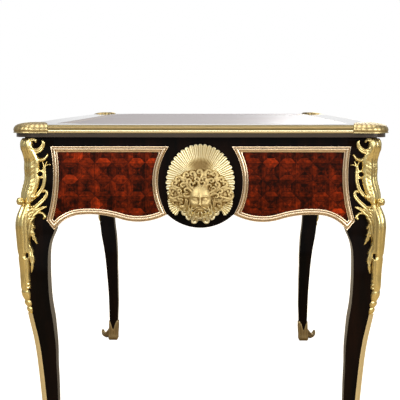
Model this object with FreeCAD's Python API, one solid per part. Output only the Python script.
import FreeCAD, Part
import math
import os

V = FreeCAD.Vector

# A flat writing desk on four cabriole legs, in ebonised wood with parquetry panels and gilt
# bronze mounts. Millimetres. The origin is on the floor under the centre of the top, the desk
# is long along Y, and its drawers open towards +X.

# Whole desk
top_length = 1590.0
top_width = 790.0
desk_height = 785.0
cut_overrun = 5.0
slide_gap = 0.3
glue_gap = 0.1

# Top: a wooden board in a brass edge strip, with leather let into a veneered border
top_thickness = 26.0
lip_height = 8.5
lip_inset = 1.5
strip_height = 17.0
strip_depth = 6.0
strip_groove_depth = 2.4
strip_round = 2.2
cover_thickness = 1.5
lobe_radius = 40.0
dip_radius = 110.0
bow_inset = 2.0
end_bow_rise = 8.0
side_bow_rise = 10.0
border_width = 72.0
leather_corner_radius = 62.0
corner_shell_reach = 74.0
corner_shell_crown = 5.0

# Carcase: the aprons' faces stand back from the edge of the top
top_overhang = 28.0
post_depth = 54.0
apron_thickness = 25.0
drop_to_tip = 200.0
drop_to_side_panel = 165.5
drop_to_centre_panel = 102.0
centre_arch_rise = 10.0
roundel_radius = 98.0
roundel_drop = 96.5
tenon_length = 30.0
tenon_thickness = 9.0
tenon_setback = 8.0
tenon_height = 110.0
tenon_drop = 26.0
rail_height = 18.0
rail_thickness = 22.0
rail_tenon_height = 12.0
partition_thickness = 22.0
partition_dado = 6.0
partition_round = 18.0
partition_drop = 164.0
centre_opening = 528.0
runner_width = 16.0
runner_height = 12.0
side_runner_drop = 152.0
centre_runner_drop = 82.0

# Panel frames and the parquetry inside them
frame_width = 12.6
frame_base = 2.5
frame_bead_height = 5.0
frame_bead_width = 3.6
frame_bead_margin = 1.3
frame_drop = 20.0
veneer_thickness = 1.5
end_panel_inner_top = 66.0
end_panel_inner_middle = 90.0
end_panel_inner_bottom = 71.0
end_panel_corner_reach = 17.0
end_panel_top_reach = 7.0
end_panel_waist_reach = 2.0
panel_corner_rise = 21.0
drawer_panel_hollow = 9.0
drawer_panel_corner_cut = 15.0

# Legs
knee_reach = 22.0
arris_flat = 14.0
land_share = 0.5
leg_bow_share = 0.55

# Bronzes on the legs
mount_thickness = 4.0
mount_spine = 5.5
mount_lap = 8.0
mount_boss_radius = 10.0
mount_boss_share = 0.73
mount_boss_height_share = 0.82
arris_strip_width = 9.0
arris_strip_proud = 2.5
shoe_thickness = 3.2
shoe_height = 78.0
shoe_scallop_radius = 11.0
toe_radius = 12.0
toe_reach = 44.0

# Masks on the end roundels
ray_count = 36
ray_plate_width = 147.0
ray_plate_height = 164.0
ray_plate_thickness = 6.0
ray_depth = 5.0
mask_drop = 96.5
hair_radius = 53.0
hair_depth = 24.0
hair_drop = 118.0
head_radius = 29.0
head_height = 80.0
head_forward = 10.0
head_drop = 134.0
nose_radius = 5.5
nose_height = 24.0
nose_drop = 138.0
beard_radius = 30.0
beard_height = 66.0
beard_drop = 162.0
curl_radius = 10.5
curl_count = 13
curl_spread = 250.0

# Drawers
drawer_front_thickness = 22.0
drawer_front_gap = 1.0
drawer_rail_gap = 0.5
drawer_back_gap = 27.0
drawer_side_thickness = 12.0
drawer_bottom_thickness = 8.0
drawer_bottom_rise = 5.0
drawer_groove = 5.0
drawer_headroom = 16.0
side_box_clear = 1.0

# Locks and keys
lock_width = 50.0
lock_height = 50.0
lock_depth = 9.0
lock_wall = 1.5
bolt_width = 20.0
bolt_thickness = 4.0
bolt_throw = 8.0
bolt_lift = 3.0
key_drop = 33.0
key_shaft_radius = 2.5
key_bit_length = 8.0
key_bit_thickness = 2.0
key_bit_height = 4.0
key_bow_radius = 9.0
key_bow_wire = 2.0
key_collar_radius = 4.0
key_collar_length = 3.0
keyhole_gap = 0.5
escutcheon_width = 30.0
escutcheon_height = 44.0
escutcheon_thickness = 2.5

# Worked-out places
half_width = top_width / 2
half_length = top_length / 2
leg_height = desk_height - top_thickness
face_x = half_width - top_overhang
face_y = half_length - top_overhang
side_half = face_y - post_depth
end_half = face_x - post_depth
tip_height = leg_height - drop_to_tip
edge_swing = drop_to_tip - drop_to_side_panel
side_panel_height = leg_height - drop_to_side_panel
centre_panel_height = leg_height - drop_to_centre_panel
panel_top = leg_height - frame_drop
corner_height = tip_height + panel_corner_rise
rail_bottom = leg_height - rail_height
drawer_top = rail_bottom - drawer_rail_gap
centre_half = centre_opening / 2
side_opening_start = centre_half + partition_thickness
bay_depth = 2 * face_x - apron_thickness
drawer_length = bay_depth - drawer_front_thickness - drawer_back_gap
key_height = drawer_top - key_drop

# Stations of the leg: height as a share of the leg's height, arris and face as shares of the
# knee's reach outside the apron's face, inner side as a share of the post's depth, and the flat
# on the arris as a share of its full width.
leg_station_shares = [
    (1.000, 0.36, 0.00, 1.33, 1.00),
    (0.980, 0.48, 0.00, 1.33, 1.00),
    (0.954, 0.30, 0.00, 1.33, 1.00),
    (0.925, 0.11, 0.00, 1.33, 1.00),
    (0.884, 0.10, 0.00, 1.33, 1.00),
    (0.855, 0.30, 0.00, 1.30, 1.00),
    (0.827, 0.50, 0.00, 1.24, 1.00),
    (0.790, 0.77, 0.02, 1.12, 1.00),
    (0.756, 0.98, 0.04, 1.03, 1.00),
    (0.733, 0.96, 0.06, 0.99, 1.00),
    (0.712, 0.92, 0.08, 0.87, 1.00),
    (0.684, 0.86, 0.18, 0.77, 0.96),
    (0.646, 0.75, 0.32, 0.74, 0.92),
    (0.611, 0.67, 0.38, 0.74, 0.88),
    (0.568, 0.60, 0.36, 0.76, 0.80),
    (0.527, 0.36, 0.25, 0.80, 0.74),
    (0.491, 0.12, 0.10, 0.87, 0.70),
    (0.456, -0.12, -0.12, 0.92, 0.66),
    (0.416, -0.37, -0.37, 0.96, 0.62),
    (0.374, -0.56, -0.56, 0.98, 0.58),
    (0.319, -0.74, -0.74, 0.99, 0.55),
    (0.264, -0.90, -0.90, 1.01, 0.52),
    (0.208, -1.03, -1.03, 1.02, 0.50),
    (0.152, -1.10, -1.10, 1.02, 0.48),
    (0.096, -1.13, -1.13, 0.99, 0.46),
    (0.046, -1.10, -1.10, 0.96, 0.45),
    (0.008, -1.02, -1.02, 0.93, 0.45),
]

# Outlines of the corner shell from its rim to its crown: inset from the brass edge and height,
# as shares of the shell's reach and of its height.
shell_dome_shares = [
    (-0.067, 0.00),
    (-0.067, 0.36),
    (-0.050, 0.52),
    (-0.010, 0.68),
    (0.060, 0.81),
    (0.160, 0.90),
    (0.280, 0.96),
    (0.420, 1.00),
]

# The lower edge of a side panel, from its inner corner to the tip by the leg: shares of the
# panel's width, and of the edge's swing below the inner corner.
lower_edge_shares = [(0.0, 0.0), (0.205, 0.441), (0.416, 0.288), (0.768, 0.027), (1.0, 1.0)]

# Inner outline of the pierced leg mount, from top to bottom: how far it reaches in from the
# apron's face as a share of the post's depth, and its height as a share of the leg's height.
mount_outline_shares = [
    (0.28, 0.993),
    (0.60, 0.979),
    (0.50, 0.965),
    (0.26, 0.956),
    (0.70, 0.945),
    (0.64, 0.926),
    (0.68, 0.902),
    (0.61, 0.872),
    (0.53, 0.857),
    (0.73, 0.842),
    (0.57, 0.817),
    (0.71, 0.800),
    (0.48, 0.786),
    (0.26, 0.772),
    (0.20, 0.738),
    (0.35, 0.702),
    (0.06, 0.690),
    (0.21, 0.645),
    (0.17, 0.622),
    (-0.02, 0.612),
    (0.13, 0.577),
    (0.00, 0.562),
    (0.15, 0.521),
    (0.12, 0.500),
]

# Slots through the leg mount: reach and height shares of the two ends, and width as a share
# of the mount's spine.
mount_slot_shares = [
    (0.48, 0.922, 0.48, 0.912, 1.50),
    (0.48, 0.879, 0.36, 0.850, 1.35),
    (0.57, 0.842, 0.20, 0.806, 1.50),
]
mount_eye_shares = (0.47, 0.895, 0.72)

# The shoe's curled toe along the diagonal: reach, height and radius as shares of the toe's
# reach and radius.
toe_shares = [
    (-0.70, 1.12, 1.12),
    (-0.10, 0.86, 0.84),
    (0.35, 0.72, 0.70),
    (0.72, 0.88, 0.52),
    (0.96, 1.32, 0.34),
    (1.05, 1.75, 0.18),
]


def box(low, high):
    """A box from its lowest to its highest corner."""
    size = high - low
    return Part.makeBox(size.x, size.y, size.z, low)


def line(start, end):
    return Part.makeLine(start, end)


def arc(start, middle, end):
    return Part.Arc(start, middle, end).toShape()


def tangent_arc(start, direction, end):
    """The arc that leaves start along direction and reaches end, and its direction there."""
    chord = end - start
    along = V(chord).normalize()
    lean = V(direction).normalize()
    half_way = (along + lean).normalize()
    middle = start + half_way * (chord.Length / 2 / half_way.dot(along))
    return arc(start, middle, end), along * (2 * lean.dot(along)) - lean


def flat(u, height):
    """A point on a face of the desk: u to the right as it is looked at, on the face's plane."""
    return V(u, 0, height)


def plate(wire, depth):
    """A closed outline on a face, as a plate. A positive depth runs into the desk."""
    return Part.Face(wire).extrude(V(0, depth, 0))


def offset(wire, distance):
    return wire.makeOffset2D(distance, 2)


def mirrored(shape, normal):
    return shape.mirror(V(0, 0, 0), normal)


def on_side(shape, side):
    """Moves a shape drawn on the plane Y = 0, outside towards -Y, to a side of the desk."""
    turns = {"left": 0.0, "front": 90.0, "right": 180.0, "back": -90.0}
    reach = face_y if side in ("left", "right") else face_x
    moved = shape.copy()
    moved.translate(V(0, -reach, 0))
    moved.rotate(V(0, 0, 0), V(0, 0, 1), turns[side])
    return moved


def save(name, *shapes):
    """Writes the sub-part's solids to its file."""
    solids = []
    for shape in shapes:
        solids.extend(shape.Solids)
    for solid in solids:
        if not solid.isValid() or solid.Volume <= 0:
            print("bad solid in", name)
    whole = solids[0] if len(solids) == 1 else Part.makeCompound(solids)
    whole.exportStep("parts/" + name + ".step")


# The top's outline

def touching_circle(first, first_radius, second, second_radius, radius, near):
    """Centre of the circle of that radius that touches both circles from outside them, on the
    side of the point near."""
    reach_one = first_radius + radius
    reach_two = second_radius + radius
    between = second - first
    span = between.Length
    along = (reach_one**2 - reach_two**2 + span**2) / (2 * span)
    aside = math.sqrt(reach_one**2 - along**2)
    unit = V(between).normalize()
    sides = [first + unit * along + V(-unit.y, unit.x, 0) * (aside * sign) for sign in (1, -1)]
    return min(sides, key=lambda point: (point - near).Length)


def toward(centre, target, distance):
    return centre + (target - centre).normalize() * distance


def top_outline(inset, height):
    """The closed outline of the top, drawn in by inset from the brass edge: shallow bows, each
    running through a dip into the rounded corner lobes."""
    lobe = V(half_width - lobe_radius, half_length - lobe_radius, 0)
    edges = []
    bows = []
    for end, rise, across in ((True, end_bow_rise, end_half), (False, side_bow_rise, side_half)):
        radius = across**2 / (2 * rise)
        reach = (half_length if end else half_width) - bow_inset
        bow = V(0, reach - radius, 0) if end else V(reach - radius, 0, 0)
        peak = V(0, reach, 0) if end else V(reach, 0, 0)
        dip = touching_circle(bow, radius, lobe, lobe_radius, dip_radius, peak)
        on_bow = toward(bow, dip, radius - inset)
        on_lobe = toward(lobe, dip, lobe_radius - inset)
        halfway = toward(dip, (on_bow + on_lobe) / 2, dip_radius + inset)
        bows.append((on_bow, halfway, on_lobe, toward(peak, V(0, 0, 0), inset)))
    (end_bow, end_dip, end_lobe, end_peak), (side_bow, side_dip, side_lobe, side_peak) = bows
    lobe_peak = toward(lobe, lobe + V(1, 1, 0), lobe_radius - inset)

    def at(point, flip_x, flip_y):
        return V(point.x * flip_x, point.y * flip_y, height)

    for flip_x, flip_y in ((1, 1), (1, -1), (-1, 1), (-1, -1)):
        for points in (
            (end_bow, end_dip, end_lobe),
            (end_lobe, lobe_peak, side_lobe),
            (side_lobe, side_dip, side_bow),
        ):
            edges.append(arc(*(at(point, flip_x, flip_y) for point in points)))
    for flip in (1, -1):
        edges.append(arc(at(end_bow, -1, flip), at(end_peak, 1, flip), at(end_bow, 1, flip)))
        edges.append(arc(at(side_bow, flip, -1), at(side_peak, flip, 1), at(side_bow, flip, 1)))
    return Part.Wire(Part.sortEdges(edges)[0])


def top_plate(inset, low, high):
    return Part.Face(top_outline(inset, low)).extrude(V(0, 0, high - low))


def leather_outline(growth):
    """The leather's outline: a rectangle with hollow corners, clear of the corner shells."""
    long_reach = half_length - border_width + growth
    short_reach = half_width - border_width + growth
    sheet = box(V(-short_reach, -long_reach, 0), V(short_reach, long_reach, desk_height * 2))
    for flip_x in (1, -1):
        for flip_y in (1, -1):
            corner = V(short_reach * flip_x, long_reach * flip_y, 0)
            sheet = sheet.cut(
                Part.makeCylinder(leather_corner_radius - growth, desk_height * 2, corner)
            )
    return sheet


def corner_zone(growth):
    """Upright cylinders over the four corners, where the shells sit."""
    reach = corner_shell_reach + growth
    centre = V(half_width, half_length, 0)
    zones = []
    for flip_x in (1, -1):
        for flip_y in (1, -1):
            at = V(centre.x * flip_x, centre.y * flip_y, 0)
            zones.append(Part.makeCylinder(reach, desk_height * 2, at))
    return zones


def make_top():
    core_inset = strip_depth
    board_top = desk_height - cover_thickness
    lip_top = leg_height + lip_height
    board = top_plate(lip_inset, leg_height, lip_top).fuse(
        top_plate(core_inset, lip_top, board_top)
    )
    save("top_board", board.removeSplitter())

    cover = top_plate(core_inset, board_top, desk_height)
    save("top_leather", cover.common(leather_outline(0)))
    save("top_border_veneer", cover.cut(leather_outline(glue_gap)))

    # The edge strip is drawn as its section at the middle of the long side and swept round.
    path = top_outline(0, lip_top)
    half_strip = strip_height / 2
    outer = half_width - bow_inset
    points = [
        (strip_depth, 0),
        (strip_round, 0),
        (0, half_strip / 2),
        (strip_round, half_strip),
        (strip_groove_depth + strip_round / 2, half_strip + strip_round / 2),
        (strip_round, half_strip + strip_round),
        (strip_round / 2, strip_height - strip_round * 1.5),
        (strip_round, strip_height),
        (strip_depth, strip_height),
    ]
    section = [V(outer - inset, 0, lip_top + rise) for inset, rise in points]
    profile = Part.Wire(
        [
            line(section[0], section[1]),
            arc(section[1], section[2], section[3]),
            arc(section[3], section[4], section[5]),
            arc(section[5], section[6], section[7]),
            line(section[7], section[8]),
            line(section[8], section[0]),
        ]
    )
    strip = path.makePipeShell([profile], True, False)
    for zone in corner_zone(-slide_gap):
        strip = strip.cut(zone)
    save("top_edge_strips", strip)
    return board


def make_corner_shells():
    """A domed bronze over each corner of the top, wrapping the board's edge."""
    lip_top = leg_height + lip_height
    dome_top = desk_height + corner_shell_crown
    rings = [
        top_outline(inset * corner_shell_reach, lip_top + rise * (dome_top - lip_top))
        for inset, rise in shell_dome_shares
    ]
    dome = Part.makeLoft(rings, True, True)
    core = top_plate(strip_depth, lip_top - cut_overrun, desk_height)
    names = ("corner_shell_right_front", "corner_shell_left_front",
             "corner_shell_right_back", "corner_shell_left_back")
    for name, zone in zip(names, corner_zone(-2 * slide_gap)):
        shell = dome.common(zone).cut(core)
        save(name, shell)


# Legs

def leg_section(station, arris_grow, face_grow, inner_grow, height):
    """The leg's section at a station, drawn for the corner at +X and +Y."""
    _, arris_share, face_share, inner_share, flat_share = station
    arris = arris_share * knee_reach + arris_grow
    face = face_share * knee_reach + face_grow
    inner = -inner_share * post_depth - inner_grow
    chamfer = flat_share * arris_flat
    reach = arris - chamfer - inner
    land = inner + reach * land_share
    bow = land + (arris - chamfer - land) * leg_bow_share

    def at(dx, dy):
        return V(face_x + dx, face_y + dy, height)

    def bent(start, control, end):
        curve = Part.BezierCurve()
        curve.setPoles([start, control, end])
        return curve.toShape()

    return Part.Wire(
        [
            line(at(inner, inner), at(inner, face)),
            line(at(inner, face), at(land, face)),
            bent(at(land, face), at(bow, face), at(arris - chamfer, arris)),
            line(at(arris - chamfer, arris), at(arris, arris - chamfer)),
            bent(at(arris, arris - chamfer), at(face, bow), at(face, land)),
            line(at(face, land), at(face, inner)),
            line(at(face, inner), at(inner, inner)),
        ]
    )


def leg_loft(arris_grow=0.0, face_grow=0.0, inner_grow=0.0):
    """The leg as one smooth loft through its stations, grown where a bronze wraps it."""
    wires = []
    for station in leg_station_shares:
        height = station[0] * leg_height
        wires.append(leg_section(station, arris_grow, face_grow, inner_grow, height))
    return Part.makeLoft(wires, True, False)


def post_trim():
    """What is cut off the inner sides of the post, where the aprons meet it."""
    top = leg_height + cut_overrun
    deep = 2 * post_depth
    along_x = box(
        V(face_x - deep, face_y - deep, tip_height), V(end_half, face_y + deep, top)
    )
    along_y = box(
        V(face_x - deep, face_y - deep, tip_height), V(face_x + deep, side_half, top)
    )
    return along_x.fuse(along_y)


def tenon(start, out, low, height, gap=0.0):
    """A tenon on a board in a face's own plane, from u = start outwards by out."""
    ends = sorted((start, start + out + math.copysign(gap, out)))
    return box(
        V(ends[0], tenon_setback - gap, low - gap),
        V(ends[1], tenon_setback + tenon_thickness + gap, low + height + gap),
    )


def tenon_places():
    """Side, start, length, lowest height and height of each tenon that enters a leg."""
    low = leg_height - tenon_drop - tenon_height
    rail_low = rail_bottom + (rail_height - rail_tenon_height) / 2
    places = []
    for flip in (1, -1):
        places.append(("left", flip * end_half, flip * tenon_length, low, tenon_height))
        places.append(("right", flip * end_half, flip * tenon_length, low, tenon_height))
        places.append(("back", flip * side_half, flip * tenon_length, low, tenon_height))
        places.append(
            ("front", flip * side_half, flip * tenon_length, rail_low, rail_tenon_height)
        )
    return places


def corners():
    """Name and flips of each corner, from the one at +X and +Y."""
    return (
        ("right_front", 1, 1),
        ("left_front", 1, -1),
        ("right_back", -1, 1),
        ("left_back", -1, -1),
    )


def at_corner(shape, flip_x, flip_y):
    if flip_x < 0:
        shape = mirrored(shape, V(1, 0, 0))
    if flip_y < 0:
        shape = mirrored(shape, V(0, 1, 0))
    return shape


def make_legs(bare_leg):
    mortises = [
        on_side(tenon(start, out, low, height, glue_gap), side)
        for side, start, out, low, height in tenon_places()
    ]
    for name, flip_x, flip_y in corners():
        leg = at_corner(bare_leg, flip_x, flip_y)
        for mortise in mortises:
            leg = leg.cut(mortise)
        save("leg_" + name, leg)


def mount_point(reach_share, height_share):
    """A place on the left end's face, by how far it lies in from the long side's plane."""
    return flat(face_x - reach_share * post_depth, height_share * leg_height)


def slot(start, end, width):
    """An upright slot with round ends, on the end's face plane."""
    along = (end - start).normalize()
    aside = V(along.z, 0, -along.x) * (width / 2)
    wire = Part.Wire(
        [
            line(start + aside, end + aside),
            arc(end + aside, end + along * (width / 2), end - aside),
            line(end - aside, start - aside),
            arc(start - aside, start - along * (width / 2), start + aside),
        ]
    )
    return wire


def diagonal_half():
    """The space on the end's side of the diagonal through the leg at +X and +Y."""
    reach = 2 * post_depth
    points = [
        V(face_x - reach, face_y - reach, 0),
        V(face_x + reach, face_y + reach, 0),
        V(face_x - reach, face_y + reach, 0),
        V(face_x - reach, face_y - reach, 0),
    ]
    return Part.Face(Part.makePolygon(points)).extrude(V(0, 0, desk_height))


def make_leg_mounts(bare_leg):
    """Pierced bronzes that wrap the knee: a grown leg less the leg, cut to the mount's outline
    on both faces."""
    points = [mount_point(*share) for share in mount_outline_shares]
    curve = Part.BSplineCurve()
    curve.interpolate(points)
    outside = face_x + post_depth
    top_corner = flat(outside, points[0].z)
    bottom_corner = flat(outside, points[-1].z)
    outline = Part.Wire(
        [
            curve.toShape(),
            line(points[-1], bottom_corner),
            line(bottom_corner, top_corner),
            line(top_corner, points[0]),
        ]
    )
    deep = top_length
    mount = leg_loft(mount_spine, mount_thickness, -mount_lap).cut(bare_leg)
    half = mount.common(plate(outline, deep)).common(diagonal_half())
    for start_in, start_up, end_in, end_up, width_share in mount_slot_shares:
        ends = (mount_point(start_in, start_up), mount_point(end_in, end_up))
        half = half.cut(plate(slot(ends[0], ends[1], width_share * mount_spine), deep))
    eye_in, eye_up, eye_share = mount_eye_shares
    eye_centre = mount_point(eye_in, eye_up)
    half = half.cut(Part.makeCylinder(eye_share * mount_spine, deep, eye_centre, V(0, 1, 0)))
    other = mirrored(half, V(1, -1, 0))
    other.translate(V(face_x - face_y, face_y - face_x, 0))
    boss_height = mount_boss_height_share * leg_height
    boss_out = knee_reach * mount_boss_share
    boss = Part.makeSphere(
        mount_boss_radius, V(face_x + boss_out, face_y + boss_out, boss_height)
    ).cut(bare_leg)
    mount = half.fuse(other).fuse(boss).removeSplitter()
    largest = max(mount.Solids, key=lambda solid: solid.Volume)
    for name, flip_x, flip_y in corners():
        save("leg_mount_" + name, at_corner(largest, flip_x, flip_y))


def make_arris_strips(bare_leg):
    """Bronze fillets that run down the arris from each leg mount to the shoe."""
    mount_bottom = mount_outline_shares[-1][1] * leg_height
    wires = []
    for station in leg_station_shares:
        height = station[0] * leg_height
        arris = station[1] * knee_reach
        proud = arris + arris_strip_proud
        back = arris - arris_strip_width
        nose = proud - station[4] * arris_flat
        outline = [(back, back), (back, proud), (nose, proud), (proud, nose), (proud, back)]
        corner_points = [V(face_x + dx, face_y + dy, height) for dx, dy in outline]
        wires.append(Part.makePolygon(corner_points + corner_points[:1]))
    bar = Part.makeLoft(wires, True, False)
    slab = box(
        V(0, 0, shoe_height + glue_gap), V(top_width, top_length, mount_bottom - glue_gap)
    )
    strip = bar.common(slab).cut(bare_leg)
    save("arris_strips", *[at_corner(strip, fx, fy) for _, fx, fy in corners()])


def make_shoes(bare_leg):
    """Bronze shoes round the feet, each with a curled toe along the diagonal."""
    foot_stations = [s for s in leg_station_shares if s[0] * leg_height < 2 * shoe_height]
    lowest = leg_station_shares[-1]
    wires = []
    for station in foot_stations:
        height = station[0] * leg_height
        wires.append(
            leg_section(station, shoe_thickness, shoe_thickness, shoe_thickness, height)
        )
    wires.append(leg_section(lowest, shoe_thickness, shoe_thickness, shoe_thickness, 0))
    shoe = Part.makeLoft(wires, True, False)
    low = V(0, 0, 0)
    shoe = shoe.common(box(low, V(top_width, top_length, shoe_height)))

    # Scallops leave two rounded leaves on each face.
    foot_in = lowest[3] * post_depth
    foot_out = lowest[1] * knee_reach
    middle = (foot_out - foot_in) / 2
    for start, direction in (
        (V(face_x + middle, 0, shoe_height), V(0, 1, 0)),
        (V(0, face_y + middle, shoe_height), V(1, 0, 0)),
    ):
        shoe = shoe.cut(
            Part.makeCylinder(shoe_scallop_radius, 2 * top_length, start, direction)
        )

    root = V(face_x + foot_out, face_y + foot_out, 0)
    diagonal = V(1, 1, 0).normalize()
    spots = [
        (root + diagonal * (reach * toe_reach) + V(0, 0, rise * toe_radius), share * toe_radius)
        for reach, rise, share in toe_shares
    ]
    rings = []
    for index, (centre, radius) in enumerate(spots):
        before = spots[max(index - 1, 0)][0]
        after = spots[min(index + 1, len(spots) - 1)][0]
        ring = Part.Circle(centre, after - before, radius).toShape()
        rings.append(Part.Wire([ring]))
    toe = Part.makeLoft(rings, True, False)
    shoe = shoe.fuse(toe).common(box(low, V(top_width, top_length, desk_height)))
    shoe = shoe.cut(bare_leg)
    shoe = max(shoe.Solids, key=lambda solid: solid.Volume)
    for name, flip_x, flip_y in corners():
        save("foot_mount_" + name, at_corner(shoe, flip_x, flip_y))


# Panels: outlines on a face's plane, for the half at positive u

def lower_edge(inner, outer, height):
    """Edges of the serpentine lower edge from its inner corner to the tip by the leg."""
    points = [
        flat(inner + share * (outer - inner), height - drop * edge_swing)
        for share, drop in lower_edge_shares
    ]
    edges = [arc(points[0], points[1], points[2])]
    direction = edges[0].tangentAt(edges[0].LastParameter)
    for start, end in ((points[2], points[3]), (points[3], points[4])):
        edge, direction = tangent_arc(start, direction, end)
        edges.append(edge)
    return edges


def side_panel(inner_top, inner_middle, inner_bottom, tip, outer_bottom, outer_middle, outer_top):
    """A panel beside a leg: a hollow side towards the leg and another towards the middle."""
    waist = (panel_top + corner_height) / 2
    edges = lower_edge(inner_bottom, tip, side_panel_height)
    edges.append(line(flat(tip, tip_height), flat(outer_bottom, corner_height)))
    edges.append(
        arc(
            flat(outer_bottom, corner_height),
            flat(outer_middle, waist),
            flat(outer_top, panel_top),
        )
    )
    edges.append(line(flat(outer_top, panel_top), flat(inner_top, panel_top)))
    edges.append(
        arc(
            flat(inner_top, panel_top),
            flat(inner_middle, (panel_top + side_panel_height) / 2),
            flat(inner_bottom, side_panel_height),
        )
    )
    return Part.Wire(edges)


def centre_panel(half):
    """The shallow panel over the knee space."""
    waist = (panel_top + centre_panel_height) / 2
    edges = [
        arc(
            flat(-half, centre_panel_height),
            flat(0, centre_panel_height + centre_arch_rise),
            flat(half, centre_panel_height),
        ),
        arc(
            flat(half, centre_panel_height),
            flat(half - drawer_panel_hollow, waist),
            flat(half, panel_top),
        ),
        line(flat(half, panel_top), flat(-half, panel_top)),
        arc(
            flat(-half, panel_top),
            flat(-half + drawer_panel_hollow, waist),
            flat(-half, centre_panel_height),
        ),
    ]
    return Part.Wire(edges)


def frame_of(outline):
    """A cast frame on the face: a flat base with a bead along each border."""
    base = plate(outline, -frame_base).cut(plate(offset(outline, -frame_width), -frame_base))
    for start in (frame_bead_margin, frame_width - frame_bead_margin - frame_bead_width):
        outer = offset(outline, -start)
        inner = offset(outline, -start - frame_bead_width)
        base = base.fuse(
            plate(outer, -frame_bead_height).cut(plate(inner, -frame_bead_height))
        )
    return base.removeSplitter()


def veneer_of(outline, growth=0.0):
    """The parquetry sheet under a frame, let into the board by its own thickness."""
    return plate(offset(outline, -frame_width / 2 + growth), veneer_thickness)


def end_panel():
    return side_panel(
        end_panel_inner_top,
        end_panel_inner_middle,
        end_panel_inner_bottom,
        end_half,
        end_half + end_panel_corner_reach,
        end_half + end_panel_waist_reach,
        end_half + end_panel_top_reach,
    )


def drawer_panel():
    start = side_opening_start + drawer_front_gap
    stop = side_half - drawer_front_gap
    return side_panel(
        start,
        start + drawer_panel_hollow,
        start,
        stop - drawer_panel_corner_cut,
        stop,
        stop - drawer_panel_hollow,
        stop,
    )


def make_end_aprons(legs):
    roundel_centre = leg_height - roundel_drop
    half = lower_edge(end_panel_inner_bottom, end_half, side_panel_height)
    other = [mirrored(edge, V(1, 0, 0)) for edge in half]
    bottom = arc(
        flat(-end_panel_inner_bottom, side_panel_height),
        flat(0, roundel_centre - roundel_radius),
        flat(end_panel_inner_bottom, side_panel_height),
    )
    walls = [
        line(flat(end_half, tip_height), flat(end_half, leg_height)),
        line(flat(end_half, leg_height), flat(-end_half, leg_height)),
        line(flat(-end_half, leg_height), flat(-end_half, tip_height)),
    ]
    outline = Part.Wire(Part.sortEdges(half + other + [bottom] + walls)[0])
    board = plate(outline, apron_thickness)
    for side, start, out, low, height in tenon_places():
        if side == "left":
            board = board.fuse(tenon(start, out, low, height))
    panels = [end_panel(), mirrored(end_panel(), V(1, 0, 0))]
    for panel in panels:
        board = board.cut(veneer_of(panel, glue_gap))
    veneer_clip = box(
        V(-end_half, -cut_overrun, 0), V(end_half, apron_thickness, desk_height)
    )
    board = board.removeSplitter()
    for side in ("left", "right"):
        save("end_apron_" + side, on_side(board, side))
        frames = [on_side(frame_of(panel), side).cut(legs) for panel in panels]
        save("end_frames_" + side, *frames)
        save(
            "end_veneers_" + side,
            *[on_side(veneer_of(panel).common(veneer_clip), side) for panel in panels],
        )


def make_back_apron():
    inner = side_opening_start + drawer_front_gap
    half = lower_edge(inner, side_half, side_panel_height)
    turn = partition_round
    corner_start = flat(centre_half + turn, side_panel_height)
    corner_end = flat(centre_half, side_panel_height + turn)
    knee = V(centre_half + turn, 0, side_panel_height + turn)
    corner_middle = knee + V(-1, 0, -1).normalize() * turn
    half.append(line(flat(inner, side_panel_height), corner_start))
    half.append(arc(corner_start, corner_middle, corner_end))
    half.append(line(corner_end, flat(centre_half, centre_panel_height)))
    half.append(line(flat(side_half, tip_height), flat(side_half, leg_height)))
    other = [mirrored(edge, V(1, 0, 0)) for edge in half]
    across = [
        arc(
            flat(-centre_half, centre_panel_height),
            flat(0, centre_panel_height + centre_arch_rise),
            flat(centre_half, centre_panel_height),
        ),
        line(flat(side_half, leg_height), flat(-side_half, leg_height)),
    ]
    board = plate(Part.Wire(Part.sortEdges(half + other + across)[0]), apron_thickness)
    for side, start, out, low, height in tenon_places():
        if side == "back":
            board = board.fuse(tenon(start, out, low, height))
    for flip in (1, -1):
        ends = sorted((flip * centre_half, flip * side_opening_start))
        board = board.cut(
            box(
                V(ends[0], apron_thickness - partition_dado, leg_height - partition_drop),
                V(ends[1], apron_thickness + cut_overrun, leg_height + cut_overrun),
            )
        )
    sides = drawer_panel()
    panels = [
        mirrored(sides, V(1, 0, 0)),
        centre_panel(centre_half - drawer_front_gap),
        sides,
    ]
    for panel in panels:
        board = board.cut(veneer_of(panel, glue_gap))
    save("back_apron", on_side(board.removeSplitter(), "back"))
    save("back_frames", *[on_side(frame_of(panel), "back") for panel in panels])
    save("back_veneers", *[on_side(veneer_of(panel), "back") for panel in panels])


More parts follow.
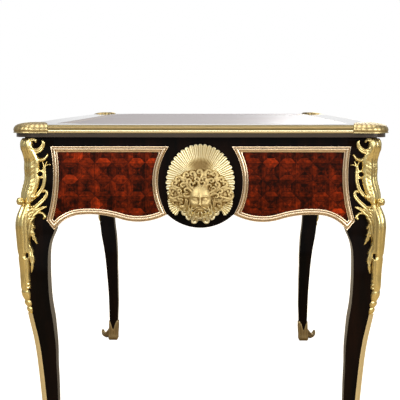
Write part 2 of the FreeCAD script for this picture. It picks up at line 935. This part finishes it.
def make_front_frame():
    """The rail over the drawers, the partitions between them and the runners under them."""
    rail = box(V(-side_half, 0, rail_bottom), V(side_half, rail_thickness, leg_height))
    for side, start, out, low, height in tenon_places():
        if side == "front":
            rail = rail.fuse(tenon(start, out, low, height))
    for _, middle in drawer_middles():
        rail = rail.cut(bolt_mortise(middle))
    save("front_rail", on_side(rail.removeSplitter(), "front"))

    bottom = leg_height - partition_drop
    back = bay_depth + partition_dado
    board = Part.makePolygon(
        [
            V(0, 0, bottom),
            V(0, 0, rail_bottom),
            V(0, rail_thickness, rail_bottom),
            V(0, rail_thickness, leg_height),
            V(0, back, leg_height),
            V(0, back, bottom),
            V(0, 0, bottom),
        ]
    )
    panel = Part.Face(board).extrude(V(partition_thickness, 0, 0))
    panel.translate(V(centre_half, 0, 0))
    low_edges = [
        edge
        for edge in panel.Edges
        if edge.BoundBox.ZMax < bottom + glue_gap and edge.BoundBox.XMax < centre_half + glue_gap
    ]
    panel = panel.makeFillet(partition_round, low_edges)
    save("partition_right", on_side(panel, "front"))
    save("partition_left", on_side(mirrored(panel, V(1, 0, 0)), "front"))

    side_top = leg_height - side_runner_drop
    centre_top = leg_height - centre_runner_drop
    front_start = rail_thickness
    bars = []
    for flip in (1, -1):
        for start, stop, near, far, top in (
            (centre_half - runner_width, centre_half, front_start, bay_depth, centre_top),
            (
                side_opening_start,
                side_opening_start + runner_width,
                front_start,
                bay_depth,
                side_top,
            ),
            (
                side_half - runner_width,
                face_y - apron_thickness,
                post_depth,
                2 * face_x - post_depth,
                side_top,
            ),
        ):
            ends = sorted((flip * start, flip * stop))
            bars.append(box(V(ends[0], near, top - runner_height), V(ends[1], far, top)))
    save("drawer_runners", *[on_side(bar, "front") for bar in bars])


# Drawers, drawn on the front's plane

def drawer_middles():
    """Name of each drawer and the middle of its opening."""
    side_middle = (side_opening_start + side_half) / 2
    return (("left", -side_middle), ("centre", 0.0), ("right", side_middle))


def bolt_place(middle, low, high, gap):
    back = drawer_front_thickness - lock_wall
    return box(
        V(middle - bolt_width / 2 - gap, back - bolt_thickness - gap, low),
        V(middle + bolt_width / 2 + gap, back + gap, high),
    )


def bolt_mortise(middle):
    """The hole in the rail that a drawer's bolt rises into."""
    high = drawer_top + bolt_throw + drawer_rail_gap
    return bolt_place(middle, rail_bottom - cut_overrun, high, slide_gap)


def keyhole(middle):
    """The keyhole through the drawer front, as a round hole with a slot under it."""
    depth = drawer_front_thickness - lock_wall - bolt_thickness
    start = V(middle, -2 * cut_overrun, key_height)
    reach = depth + 2 * cut_overrun
    hole = Part.makeCylinder(key_shaft_radius + keyhole_gap, reach, start, V(0, 1, 0))
    half = key_bit_thickness / 2 + keyhole_gap
    low = key_height - key_bit_length - 2 * keyhole_gap
    return hole.fuse(
        box(V(middle - half, start.y, low), V(middle + half, start.y + reach, key_height))
    )


def lock_box(middle, gap=0.0):
    front = drawer_front_thickness - lock_depth
    return box(
        V(middle - lock_width / 2 - gap, front - gap, drawer_top - lock_height - gap),
        V(middle + lock_width / 2 + gap, drawer_front_thickness, drawer_top),
    )


def make_lock(name, middle):
    """The lock's case, its bolt, the key that throws it, and the escutcheon outside."""
    back = drawer_front_thickness - lock_wall
    front = back - bolt_thickness - 2 * slide_gap
    cavity = Part.makeCylinder(
        key_bit_length + 2 * keyhole_gap,
        back + slide_gap - front,
        V(middle, front, key_height),
        V(0, 1, 0),
    )
    way = bolt_place(middle, key_height, drawer_top + cut_overrun, slide_gap)
    case = lock_box(middle).cut(cavity).cut(way).cut(keyhole(middle))
    save("drawer_" + name + "_lock", on_side(case, "front"))

    bolt_bottom = key_height + bolt_lift
    bolt = bolt_place(middle, bolt_bottom, drawer_top - slide_gap, 0.0)
    save("drawer_" + name + "_bolt", on_side(bolt, "front"))

    bit_start = back - bolt_thickness
    bit = box(
        V(middle - key_bit_thickness / 2, bit_start, key_height - key_bit_length),
        V(middle + key_bit_thickness / 2, bit_start + key_bit_height - slide_gap, key_height),
    )
    bow_centre = -(top_overhang - key_bow_radius - key_bow_wire / 2)
    shaft = Part.makeCylinder(
        key_shaft_radius,
        bit_start + key_bit_height - slide_gap - bow_centre - key_bow_radius,
        V(middle, bow_centre + key_bow_radius, key_height),
        V(0, 1, 0),
    )
    collar = Part.makeCylinder(
        key_collar_radius,
        key_collar_length,
        V(middle, -escutcheon_thickness - key_collar_length - slide_gap, key_height),
        V(0, 1, 0),
    )
    bow = Part.makeTorus(
        key_bow_radius, key_bow_wire, V(middle, bow_centre, key_height), V(1, 0, 0)
    )
    key = shaft.fuse(bit).fuse(bow).fuse(collar)
    save("drawer_" + name + "_key", on_side(key.removeSplitter(), "front"))

    rim = Part.Ellipse(V(0, 0, 0), escutcheon_height / 2, escutcheon_width / 2)
    disc = Part.Face(Part.Wire([rim.toShape()])).extrude(V(0, 0, escutcheon_thickness))
    disc.rotate(V(0, 0, 0), V(0, 0, 1), 90)
    disc.rotate(V(0, 0, 0), V(1, 0, 0), 90)
    disc.translate(V(middle, 0, key_height - key_bit_length / 2))
    save("drawer_" + name + "_escutcheon", on_side(disc.cut(keyhole(middle)), "front"))


def make_drawer_box(name, start, stop, bottom):
    """Two sides and a back round a bottom board that slides in their grooves."""
    near = drawer_front_thickness
    far = near + drawer_length
    top = rail_bottom - drawer_headroom
    thick = drawer_side_thickness
    groove_low = bottom + drawer_bottom_rise
    groove_high = groove_low + drawer_bottom_thickness
    floor_board = box(
        V(start + thick - drawer_groove, near, groove_low),
        V(stop - thick + drawer_groove, far, groove_high),
    )
    groove = box(
        V(start + thick - drawer_groove - glue_gap, near, groove_low - glue_gap),
        V(stop - thick + drawer_groove + glue_gap, far, groove_high + glue_gap),
    )
    sides = [
        box(V(start, near, bottom), V(start + thick, far, top)).cut(groove),
        box(V(stop - thick, near, bottom), V(stop, far, top)).cut(groove),
    ]
    back = box(
        V(start + thick, far - thick, groove_high), V(stop - thick, far, top - glue_gap)
    )
    boards = [*sides, back, floor_board]
    save("drawer_" + name + "_box", *[on_side(board, "front") for board in boards])


def make_drawer(name, middle, outline, panel, start, stop, bottom):
    front = plate(outline, drawer_front_thickness)
    front = front.cut(veneer_of(panel, glue_gap)).cut(lock_box(middle)).cut(keyhole(middle))
    front = front.removeSplitter()
    save("drawer_" + name + "_front", on_side(front, "front"))
    save("drawer_" + name + "_frame", on_side(frame_of(panel), "front"))
    save(
        "drawer_" + name + "_veneer",
        on_side(veneer_of(panel).cut(keyhole(middle)), "front"),
    )
    make_drawer_box(name, start, stop, bottom)
    make_lock(name, middle)


def make_drawers():
    panel = drawer_panel()
    inner = side_opening_start + drawer_front_gap
    outer = side_half - drawer_front_gap
    tip = flat(outer - drawer_panel_corner_cut, tip_height)
    edges = lower_edge(inner, outer - drawer_panel_corner_cut, side_panel_height)
    edges += [
        line(tip, flat(outer, corner_height)),
        line(flat(outer, corner_height), flat(outer, drawer_top)),
        line(flat(outer, drawer_top), flat(inner, drawer_top)),
        line(flat(inner, drawer_top), flat(inner, side_panel_height)),
    ]
    outline = Part.Wire(edges)
    side_bottom = leg_height - side_runner_drop + slide_gap
    centre_bottom = leg_height - centre_runner_drop + slide_gap
    half = centre_half - drawer_front_gap
    centre_outline = Part.Wire(
        [
            arc(
                flat(-half, centre_panel_height),
                flat(0, centre_panel_height + centre_arch_rise),
                flat(half, centre_panel_height),
            ),
            line(flat(half, centre_panel_height), flat(half, drawer_top)),
            line(flat(half, drawer_top), flat(-half, drawer_top)),
            line(flat(-half, drawer_top), flat(-half, centre_panel_height)),
        ]
    )
    start = inner + side_box_clear
    stop = outer - side_box_clear
    for name, middle in drawer_middles():
        if name == "centre":
            reach = half - side_box_clear
            make_drawer(
                name, middle, centre_outline, centre_panel(half), -reach, reach, centre_bottom
            )
        elif name == "right":
            make_drawer(name, middle, outline, panel, start, stop, side_bottom)
        else:
            make_drawer(
                name,
                middle,
                mirrored(outline, V(1, 0, 0)),
                mirrored(panel, V(1, 0, 0)),
                -stop,
                -start,
                side_bottom,
            )


# Masks

def spun(across, along, centre, axis):
    """A solid spun about an axis from half an ellipse: across and along are its half sizes."""
    side = V(1, 0, 0) if axis.x == 0 else V(0, 1, 0)
    major, minor = (axis, side) if along > across else (side, axis)
    ellipse = Part.Ellipse(
        centre + major * max(across, along), centre + minor * min(across, along), centre
    )
    disc = Part.Face(Part.Wire([ellipse.toShape()]))
    reach = across + along
    keep = Part.Face(
        Part.makePolygon(
            [
                centre + axis * reach,
                centre + axis * reach + side * reach,
                centre - axis * reach + side * reach,
                centre - axis * reach,
                centre + axis * reach,
            ]
        )
    )
    half = disc.common(keep)
    return Part.makeSolid(half.revolve(centre, axis, 360.0).Shells[0])


def make_masks():
    """A bearded head in curls before a plate of rays, on the roundel of each end."""
    middle = leg_height - mask_drop
    tips = []
    for index in range(2 * ray_count):
        turn = math.pi * index / ray_count
        inset = 0.0 if index % 2 == 0 else ray_depth
        tips.append(
            flat(
                math.sin(turn) * (ray_plate_width / 2 - inset),
                middle + math.cos(turn) * (ray_plate_height / 2 - inset),
            )
        )
    edges = []
    for index in range(0, 2 * ray_count, 2):
        before, tip, after = tips[index - 1], tips[index], tips[(index + 1) % len(tips)]
        edges.append(arc(before, tip, after))
    up = V(0, 0, 1)
    out = V(0, 1, 0)
    hair_at = flat(0, leg_height - hair_drop)
    head_at = flat(0, leg_height - head_drop) - out * head_forward
    nose_at = flat(0, leg_height - nose_drop) - out * (head_forward + head_radius - nose_radius / 2)
    beard_at = flat(0, leg_height - beard_drop)
    pieces = [
        spun(hair_radius, hair_depth, hair_at, out),
        spun(head_radius, head_height / 2, head_at, up),
        spun(nose_radius, nose_height / 2, nose_at, up),
        spun(beard_radius, beard_height / 2, beard_at, up),
    ]
    for index in range(curl_count):
        turn = math.radians(curl_spread * (index / (curl_count - 1) - 1 / 2))
        reach = head_radius + curl_radius
        curl_at = head_at + V(math.sin(turn) * reach, 0, math.cos(turn) * reach)
        pieces.append(Part.makeSphere(curl_radius, curl_at))
    mask = plate(Part.Wire(edges), -ray_plate_thickness)
    for piece in pieces:
        mask = mask.fuse(piece)
    outside = box(V(-top_width, -top_width, 0), V(top_width, 0, desk_height))
    mask = mask.common(outside)
    for side in ("left", "right"):
        save("mask_" + side, on_side(mask, side))


def main():
    os.makedirs("parts", exist_ok=True)
    bare_leg = leg_loft().cut(post_trim())
    make_top()
    make_corner_shells()
    make_legs(bare_leg)
    make_leg_mounts(bare_leg)
    make_arris_strips(bare_leg)
    make_shoes(bare_leg)
    grown_leg = leg_loft(glue_gap, glue_gap)
    make_end_aprons([at_corner(grown_leg, fx, fy) for _, fx, fy in corners()])
    make_back_apron()
    make_front_frame()
    make_drawers()
    make_masks()


if __name__ == "__main__":
    main()
